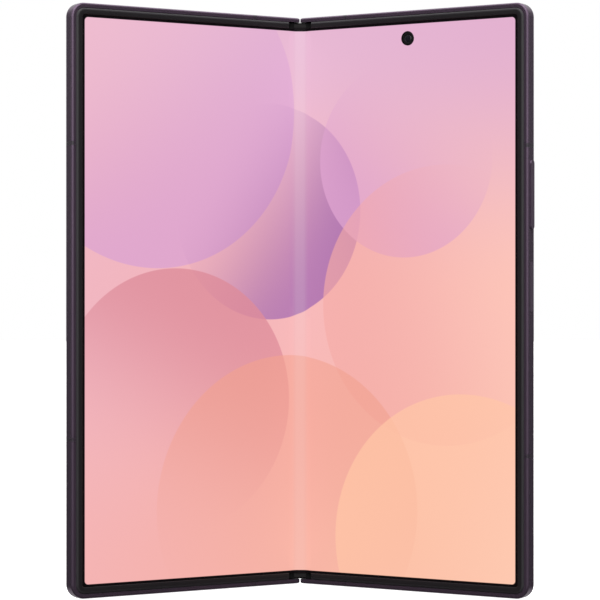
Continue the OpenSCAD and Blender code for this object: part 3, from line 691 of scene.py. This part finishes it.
def lit_panel(finishes, sizes):
    """Folding OLED panel under a clear polymer film: it glows evenly, is black round the picture,
    and its film adds a soft reflection. A pale band along the fold is a painted reflection of the
    crease's highlight."""
    mat, body = shader(
        "oled_folding_panel",
        {"Base Color": rgba(finishes.border), "Roughness": 0.22, "IOR": 1.45, "Emission Strength": 1.0},
    )
    flat = node(mat, "UVMap", uv_map="flat")
    at = node(mat, "VectorMath", {0: flat.outputs[0], 3: UV_MM}, operation="SCALE")
    split = node(mat, "SeparateXYZ", {0: at.outputs[0]})
    across = node(mat, "MapRange", {0: split.outputs[0], 1: PICTURE_X[0], 2: PICTURE_X[1]})
    up = node(mat, "MapRange", {0: split.outputs[1], 1: PICTURE_Y[0], 2: PICTURE_Y[1]})
    picture = None
    for codes, height in BACKGROUND:
        ramp = node(mat, "ValToRGB", {"Fac": across.outputs[0]})
        ramp.color_ramp.interpolation = "B_SPLINE"
        set_stops(ramp, tuple(zip((0.0, 0.5, 1.0), codes)))
        if picture is None:
            picture = ramp.outputs[0]
            continue
        share = node(
            mat, "MapRange", {0: up.outputs[0], 1: height - 0.5, 2: height},
            interpolation_type="SMOOTHSTEP",
        )
        picture = node(
            mat, "Mix", {0: share.outputs[0], 6: picture, 7: ramp.outputs[0]}, data_type="RGBA"
        ).outputs[2]
    for (cx, cy), r, way, code, strength in SHAPES:
        off = node(mat, "VectorMath", {0: at.outputs[0], 1: (cx, cy, 0)}, operation="SUBTRACT")
        far = node(mat, "VectorMath", {0: off.outputs[0]}, operation="LENGTH")
        ends = {1: r - DISC_EDGE, 2: r + DISC_EDGE, 3: strength, 4: 0.0}
        within = node(mat, "MapRange", {0: far.outputs["Value"], **ends})
        facing = (math.cos(math.radians(way)), math.sin(math.radians(way)), 0)
        along = node(mat, "VectorMath", {0: off.outputs[0], 1: facing}, operation="DOT_PRODUCT")
        deep = node(
            mat, "MapRange", {0: along.outputs["Value"], 1: -0.9 * r, 2: r},
            interpolation_type="SMOOTHERSTEP",
        )
        share = node(mat, "Math", {0: within.outputs[0], 1: deep.outputs[0]}, operation="MULTIPLY")
        picture = node(
            mat, "Mix", {0: share.outputs[0], 6: picture, 7: rgba(linear(code))}, data_type="RGBA"
        ).outputs[2]
    # painted reflection: the picture mixed towards white near the fold stands in for the crease's
    # highlight
    side = node(mat, "Math", {0: split.outputs[0]}, operation="ABSOLUTE")
    ends = {0: side.outputs[0], 1: 0.6, 2: 3.4, 3: 0.06, 4: 0.0}
    fold = node(mat, "MapRange", ends, interpolation_type="SMOOTHSTEP")
    picture = node(
        mat, "Mix", {0: fold.outputs[0], 6: picture, 7: (1, 1, 1, 1)}, data_type="RGBA"
    ).outputs[2]
    # the lit area's rounded outline, and the unlit ring round the inner camera
    from_middle = node(mat, "VectorMath", {0: at.outputs[0], 1: (0, BODY_H / 2, 0)}, operation="SUBTRACT")
    size = node(mat, "VectorMath", {0: from_middle.outputs[0]}, operation="ABSOLUTE")
    core = (sizes.lit_w / 2 - sizes.lit_r, sizes.lit_h / 2 - sizes.lit_r, 0)
    beyond = node(mat, "VectorMath", {0: size.outputs[0], 1: core}, operation="SUBTRACT")
    outer = node(mat, "VectorMath", {0: beyond.outputs[0], 1: (0, 0, 0)}, operation="MAXIMUM")
    reach = node(mat, "VectorMath", {0: outer.outputs[0]}, operation="LENGTH")
    soft = 0.05
    ends = {1: sizes.lit_r - soft, 2: sizes.lit_r + soft, 3: 1.0, 4: 0.0}
    lit = node(mat, "MapRange", {0: reach.outputs["Value"], **ends})
    from_lens = node(mat, "VectorMath", {0: at.outputs[0], 1: (RING_U, RING_Y, 0)}, operation="DISTANCE")
    clear = node(mat, "MapRange", {0: from_lens.outputs["Value"], 1: RING_R - soft, 2: RING_R + soft})
    lit = node(mat, "Math", {0: lit.outputs[0], 1: clear.outputs[0]}, operation="MULTIPLY")
    glow = node(mat, "Mix", {0: lit.outputs[0], 6: (0, 0, 0, 1), 7: picture}, data_type="RGBA")
    wire(mat, glow.outputs[2], body.inputs["Emission Color"])
    # the printed border lies deeper than the film's gloss
    gloss = node(mat, "MapRange", {0: lit.outputs[0], 3: 0.12, 4: 0.5})
    wire(mat, gloss.outputs[0], body.inputs["Specular IOR Level"])
    return mat


# Bearings off the camera, in degrees, over which each light comes up or goes out.
FRONT_OUT, SIDE_UP, SIDE_OUT = (54, 42), (76, 86), (105, 120)
REAR_UP, BOUNCE_UP = (122, 142), (100, 130)


def studio_world(studio):
    """A studio of light that the phone alone sees: a wide light in front, one to each side and
    two behind, all fading downwards. The camera sees plain white paper."""
    world = bpy.data.worlds.new("studio")
    world.use_nodes = True
    way = node(world, "TexCoord").outputs["Generated"]
    level = node(world, "VectorMath", {0: way, 1: (1, 1, 0)}, operation="MULTIPLY")
    level = node(world, "VectorMath", {0: level.outputs[0]}, operation="NORMALIZE")
    ahead = node(
        world, "VectorMath", {0: level.outputs[0], 1: (0, -1, 0)}, operation="DOT_PRODUCT"
    ).outputs["Value"]
    height = node(world, "SeparateXYZ", {0: way}).outputs["Z"]

    def between(low, high, value):
        """A smooth step as the bearing goes from one angle off the camera to another, in degrees."""
        ends = {
            0: ahead, 1: math.cos(math.radians(low)), 2: math.cos(math.radians(high)), 3: 0.0, 4: value
        }
        return node(world, "MapRange", ends, interpolation_type="SMOOTHSTEP").outputs[0]

    def total(*values):
        """The sum of some values."""
        kept = values[0]
        for value in values[1:]:
            kept = node(world, "Math", {0: kept, 1: value}, operation="ADD").outputs[0]
        return kept

    sides = total(between(*SIDE_UP, studio.side), between(*SIDE_OUT, -studio.side))
    ring = total(between(*FRONT_OUT, studio.front), sides, studio.fill)
    fade = node(
        world, "MapRange", {0: height, 1: -0.17, 2: 0.25, 3: 0.1, 4: 2.5}, interpolation_type="SMOOTHSTEP"
    )
    ring = node(world, "Math", {0: ring, 1: fade.outputs[0]}, operation="MULTIPLY").outputs[0]
    level_fade = node(world, "Math", {0: fade.outputs[0], 1: 1.0}, operation="MINIMUM").outputs[0]
    behind = node(
        world, "Math", {0: between(*REAR_UP, studio.rear), 1: level_fade}, operation="MULTIPLY"
    ).outputs[0]
    top = node(
        world, "MapRange", {0: height, 1: 0.5, 2: 0.8, 3: 0.0, 4: studio.top},
        interpolation_type="SMOOTHSTEP",
    )
    down = node(
        world, "MapRange", {0: height, 1: -0.16, 2: -0.42}, interpolation_type="SMOOTHSTEP"
    ).outputs[0]
    bounce = node(
        world, "Math", {0: between(*BOUNCE_UP, studio.bounce), 1: down}, operation="MULTIPLY"
    ).outputs[0]
    light = total(ring, behind, bounce, top.outputs[0])
    ray = node(world, "LightPath")
    seen = node(world, "Mix", {0: ray.outputs["Is Camera Ray"], 2: light, 3: 1.0}, data_type="FLOAT")
    world.node_tree.links.new(seen.outputs[0], world.node_tree.nodes["Background"].inputs["Strength"])
    world.node_tree.nodes["Background"].inputs["Color"].default_value = (1, 1, 1, 1)
    return world


def assign(obj, mat):
    """Gives an object one material."""
    obj.data.materials.clear()
    obj.data.materials.append(mat)
    return obj


def soften(obj, width, segments=2, angle=35):
    """Rounds a CAD node's sharp edges by modifiers, by a width in mm."""
    weld = obj.modifiers.new("weld", "WELD")
    weld.merge_threshold = 1e-6
    bevel = obj.modifiers.new("edge", "BEVEL")
    bevel.width = width * MM
    bevel.segments = segments
    bevel.limit_method = "ANGLE"
    bevel.angle_limit = math.radians(angle)
    bevel.harden_normals = True
    return obj


# ---------------------------------------------------------------- operators


class PHONE_OT_stage(bpy.types.Operator):
    """White floor and backdrop, soft studio light and the camera"""

    bl_idname = "phone.stage"
    bl_label = "Stage"

    def execute(self, context):
        studio = context.scene.phone_studio
        far, low = FLOOR_REACH, -FLOOR_DROP
        corners = [(-far, -far, low), (far, -far, low), (far, far, low), (-far, far, low)]
        floor = finish_mesh("floor", corners, [(0, 1, 2, 3)])
        # painted board, evenly lit: so pale that it carries no shadow
        mat, _ = shader(
            "painted_studio_floor",
            {
                "Base Color": (0.9, 0.9, 0.9, 1), "Roughness": 0.8, "Emission Color": (1, 1, 1, 1),
                "Emission Strength": 1.0,
            },
        )
        assign(floor, mat)
        floor.visible_diffuse = floor.visible_glossy = False

        context.scene.world = studio_world(studio)

        data = bpy.data.cameras.new("camera")
        data.sensor_width, data.lens = 36.0, studio.lens
        data.clip_start, data.clip_end = 0.05, 20.0
        camera = bpy.data.objects.new("camera", data)
        camera.location = (0, DEPTH_Y * MM - studio.distance, studio.height)
        camera.rotation_euler = (math.pi / 2, 0, 0)
        context.scene.collection.objects.link(camera)
        context.scene.camera = camera
        context.scene.view_settings.view_transform = "Standard"
        context.scene.view_settings.look = "None"
        return {"FINISHED"}


class PHONE_OT_screen(bpy.types.Operator):
    """The folding screen: two flat stretches and the two sides of the bend"""

    bl_idname = "phone.screen"
    bl_label = "Folding screen"

    def execute(self, context):
        mat = lit_panel(context.scene.phone_finishes, context.scene.phone_sizes)
        steps = context.scene.phone_sizes.bend_steps
        for side, word in ((1, "right"), (-1, "left")):
            flat = assign(panel(f"screen_{word}", side, side == 1), mat)
            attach(flat, f"{word}_half")
            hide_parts(f"{word}_display")
            bent = assign(bend(f"screen_bend_{word}", side, steps), mat)
            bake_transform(bent)
            if side == 1:
                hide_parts("display_bend")
        return {"FINISHED"}


class PHONE_OT_strips(bpy.types.Operator):
    """The moulded strips round the screen, with a rounded ridge along their outer edge"""

    bl_idname = "phone.strips"
    bl_label = "Screen strips"

    def execute(self, context):
        # the strip's material paints a highlight on its shoulder in a paler colour
        mat = moulded_strip(context.scene.phone_finishes.strip, context.scene.phone_finishes.shoulder)
        top = context.scene.phone_sizes.ridge
        d0, d1 = STRIP_D, STRIP_D + STRIP_W
        # the shoulder faces outwards and catches the light; its slope eases from 48 to 8 degrees
        shoulder = arc(d0 + SHOULDER_IN, top - SHOULDER_R, SHOULDER_R, *SHOULDER_ARC, 8)
        foot, lap, inner = -0.42, PANEL_D - 0.05, INNER_EDGE_R
        section = [(d0, foot), (d0, shoulder[0][1] - 0.01)] + shoulder + [(d0 + 0.9, top - 0.005)]
        section += [(d1 - 0.5, top - 0.02)] + arc(d1 - inner, top - 0.02 - inner, inner, 90, 0, 5)
        section += [(d1, 0.02), (lap, 0.02), (lap, foot)]
        for side, word in ((1, "right"), (-1, "left")):
            strip = assign(
                sweep(f"screen_strip_{word}", side, section, STRIP_END_U), mat
            )
            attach(strip, f"{word}_half")
            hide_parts(f"{word}_bezel")
        return {"FINISHED"}


class PHONE_OT_inner_camera(bpy.types.Operator):
    """The window of the inner camera, in the screen's hole"""

    bl_idname = "phone.inner_camera"
    bl_label = "Inner camera"

    def execute(self, context):
        def place(u, y, v):
            return half_place(1, u, y, v)

        seat, bore, rim, lens_r = -0.079, 0.98, 1.79, 0.97
        section = [(bore, seat), (bore, -0.055), (1.05, -0.035), (1.72, -0.02), (rim, -0.04), (rim, seat)]
        ring = joined("inner_camera_ring", [lathe(section, place, LENS_U, LENS_Y)])
        assign(ring, hard_black())
        curve = [(lens_r * math.sin(a), -0.075 + 0.045 * math.cos(a)) for a in (0.4, 0.8, 1.2, 1.5)]
        dome = [(0.0, -0.03)] + curve + [(lens_r, seat)]
        lens = joined("inner_camera_lens", [lathe(dome, place, LENS_U, LENS_Y)], 60)
        assign(lens, coated_lens())
        for obj in (ring, lens):
            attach(obj, "right_half")
        return {"FINISHED"}


class PHONE_OT_frames(bpy.types.Operator):
    """The anodised frames, keys, card tray and the moulded antenna bands"""

    bl_idname = "phone.frames"
    bl_label = "Frames and keys"

    def execute(self, context):
        finishes = context.scene.phone_finishes
        metal = anodised_aluminium("anodised_aluminium", finishes.frame)
        for name in ("right_frame", "left_frame", "sim_tray"):
            assign(CAD[name], metal)
        # the keys are blasted a little coarser than the frame
        keys = anodised_aluminium("anodised_keys", finishes.frame, 0.34)
        for name in ("volume_rocker", "side_key"):
            assign(soften(CAD[name], 0.08), keys)
        bands = moulded_band(finishes.band)
        for name in ("right_antenna_bands", "left_antenna_bands"):
            assign(CAD[name], bands)
        return {"FINISHED"}


class PHONE_OT_backs(bpy.types.Operator):
    """The etched back glass, the polished cover glass and what shows through it"""

    bl_idname = "phone.backs"
    bl_label = "Back and cover glass"

    def execute(self, context):
        finishes = context.scene.phone_finishes
        assign(CAD["right_back_glass"], etched_glass(finishes.back))
        assign(CAD["cover_glass"], polished_cover_glass(finishes.cover))
        assign(CAD["cover_display"], polished_cover_glass(finishes.border))

        for side, word in ((1, "right"), (-1, "left")):
            corners = joined(f"{word}_back_fillets", [fillet(side, end) for end in (0, 1)])
            assign(corners, CAD[f"{word}_frame"].data.materials[0])
            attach(corners, f"{word}_half")

        def place(u, y, v):
            return half_place(-1, u, y, v)

        low, face, lens_r, ring_r = -HALF_T, -HALF_T - 0.012, 1.2, 2.0
        section = [(lens_r, low), (lens_r, face), (ring_r, face), (ring_r, low)]
        ring = joined("cover_camera_ring", [lathe(section, place, COVER_LENS_U, COVER_LENS_Y)])
        section = [(0.0, face), (lens_r, low - 0.01), (lens_r, low)]
        lens = joined("cover_camera_lens", [lathe(section, place, COVER_LENS_U, COVER_LENS_Y)])
        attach(assign(ring, hard_black()), "left_half")
        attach(assign(lens, coated_lens()), "left_half")
        return {"FINISHED"}


class PHONE_OT_rear_cameras(bpy.types.Operator):
    """The rear camera island, its rings, lenses and windows, and the flash"""

    bl_idname = "phone.rear_cameras"
    bl_label = "Rear cameras"

    def execute(self, context):
        metal = anodised_aluminium("anodised_island", context.scene.phone_finishes.island, 0.26)
        assign(soften(CAD["camera_island"], 0.25, 3), metal)
        assign(soften(CAD["camera_rings"], 0.2, 3), metal)

        def place(u, y, v):
            return half_place(1, u, y, v)

        # sections as (radius, depth behind the ring's face), inside the ring's bore
        face = -HALF_T - ISLAND_T
        top = face - RING_T
        foot = RING_T - 0.15
        wall, pupil, lens_r = 5.87, 2.3, 2.29
        barrel = [(wall, foot), (wall, 0.42), (5.2, 0.42), (5.0, 0.52), (4.1, 0.52), (3.9, 0.64)]
        barrel += [(3.0, 0.64), (2.75, 0.8), (pupil, 0.86), (pupil, foot), (wall, foot)]
        curve = [(lens_r * math.sin(a), 0.9 - 0.4 * math.cos(a)) for a in (0.3, 0.6, 0.9, 1.2, 1.5)]
        dome = [(0.0, 0.5)] + curve + [(lens_r, foot - 0.01)]
        pane = [(0.0, 0.15), (5.75, 0.15), (5.85, 0.22), (5.85, 0.38), (0.0, 0.38)]

        def at_each_camera(section, steps):
            placed = [(r, top + depth) for r, depth in section]
            return [lathe(placed, place, ISLAND_U, y, steps) for y in CAMERA_YS]

        barrel = assign(
            joined("camera_barrels", at_each_camera(barrel, 96)), hard_black()
        )
        element = joined("camera_elements", at_each_camera(dome, 64), 60)
        assign(element, coated_lens())
        window = joined("camera_windows", at_each_camera(pane, 96))
        assign(window, clear_window())
        for obj in (barrel, element, window):
            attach(obj, "right_half")
        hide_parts("camera_lenses")

        low, die_r = -HALF_T - FLASH_PROUD, 0.7
        section = [(0.0, low), (0.3, low + 0.01), (0.55, low + 0.05), (die_r, low + 0.11)]
        for i in range(FLASH_RINGS):
            r = die_r + i * FLASH_PITCH
            section += [(r + 0.02, low + 0.01), (r + FLASH_PITCH - 0.02, low + 0.12)]
        section += [(2.02, low), (FLASH_R - 0.08, low), (FLASH_R, low + 0.06), (FLASH_R, low + 0.5)]
        flash = joined("flash_lens_rings", [lathe(section, place, FLASH_U, FLASH_Y, 72)], 20)
        assign(flash, moulded_flash(place(FLASH_U, FLASH_Y, low)))
        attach(flash, "right_half")
        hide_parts("flash_lens")
        return {"FINISHED"}


class PHONE_OT_hinge(bpy.types.Operator):
    """The hinge's cover, end caps, gears and supports"""

    bl_idname = "phone.hinge"
    bl_label = "Hinge"

    def execute(self, context):
        finishes = context.scene.phone_finishes
        assign(CAD["hinge_spine"], anodised_aluminium("anodised_spine", finishes.frame, 0.24))
        assign(CAD["spine_end_caps"], moulded_end_cap())
        steel, ground = brushed_steel(), gear_steel()
        for name in (
            "hinge_bracket_lower", "hinge_bracket_upper", "right_rotators", "left_rotators", "right_wing",
            "left_wing",
        ):
            assign(CAD[name], steel)
        for name in (
            "gear_shafts", "friction_discs", "right_sync_arms", "left_sync_arms", "right_idlers",
            "left_idlers", "right_screws", "left_screws",
        ):
            assign(CAD[name], ground)
        return {"FINISHED"}


class PHONE_OT_insides(bpy.types.Operator):
    """Boards, batteries and the other pieces inside the halves"""

    bl_idname = "phone.insides"
    bl_label = "Insides"

    def execute(self, context):
        coil = half_place(1, COIL_U, COIL_Y, -3.5)
        # the winding's dark and light copper are painted shade in the grooves between turns and a painted
        # highlight on the turns
        copper = ringed(
            "enamelled_copper_winding", coil, 0.5, linear("7A4526"), linear("C98A5E"),
            {"Metallic": 1.0, "Roughness": 0.3}, 0.08,
        )
        table = {
            solder_resist(): ("main_board", "charge_board", "left_board"),
            brushed_steel(): ("board_shields", "sim_reader", "usb_port", "key_switches", "haptic_motor"),
            pouch_cell(): ("right_battery", "left_battery"),
            dark_nylon(): ("loudspeaker", "ear_speaker", "camera_modules", "cover_camera"),
            hard_black(): ("inner_camera",),
            nickel(): ("right_magnets", "left_magnets"),
            carbon_plate(): ("right_backplate", "left_backplate"),
            copper: ("wireless_coil", "hinge_flex"),
        }
        for mat, names in table.items():
            for name in names:
                assign(CAD[name], mat)
        # moulded card: pale plastic with a faint grain
        assign(
            CAD["sim_card"],
            grained("moulded_card", linear("D8D2C4"), 0.3, 0.04, 0.003, 0.45, 0.05, {"IOR": 1.5}),
        )
        return {"FINISHED"}


class PHONE_PT_panel(bpy.types.Panel):
    """Lists the phone's pieces"""

    bl_idname = "PHONE_PT_panel"
    bl_label = "Folding phone"
    bl_space_type = "VIEW_3D"
    bl_region_type = "UI"
    bl_category = "Phone"

    def draw(self, context):
        for group in (
            context.scene.phone_sizes, context.scene.phone_finishes, context.scene.phone_studio
        ):
            for key in group.__annotations__:
                self.layout.prop(group, key)
        for op in OPERATORS:
            self.layout.operator(op.bl_idname)


GROUPS = (PhoneFinishes, PhoneSizes, PhoneStudio)
OPERATORS = (
    PHONE_OT_stage,
    PHONE_OT_screen,
    PHONE_OT_strips,
    PHONE_OT_inner_camera,
    PHONE_OT_frames,
    PHONE_OT_backs,
    PHONE_OT_rear_cameras,
    PHONE_OT_hinge,
    PHONE_OT_insides,
)
CLASSES = GROUPS + OPERATORS + (PHONE_PT_panel,)


def register():
    for cls in CLASSES:
        bpy.utils.register_class(cls)
    bpy.types.Scene.phone_finishes = PointerProperty(type=PhoneFinishes)
    bpy.types.Scene.phone_sizes = PointerProperty(type=PhoneSizes)
    bpy.types.Scene.phone_studio = PointerProperty(type=PhoneStudio)


def unregister():
    for name in ("phone_studio", "phone_sizes", "phone_finishes"):
        delattr(bpy.types.Scene, name)
    for cls in reversed(CLASSES):
        bpy.utils.unregister_class(cls)


def main():
    register()
    for op in OPERATORS:
        getattr(bpy.ops.phone, op.bl_idname.split(".")[1])()
    bpy.context.view_layer.update()


if __name__ == "__main__":
    main()
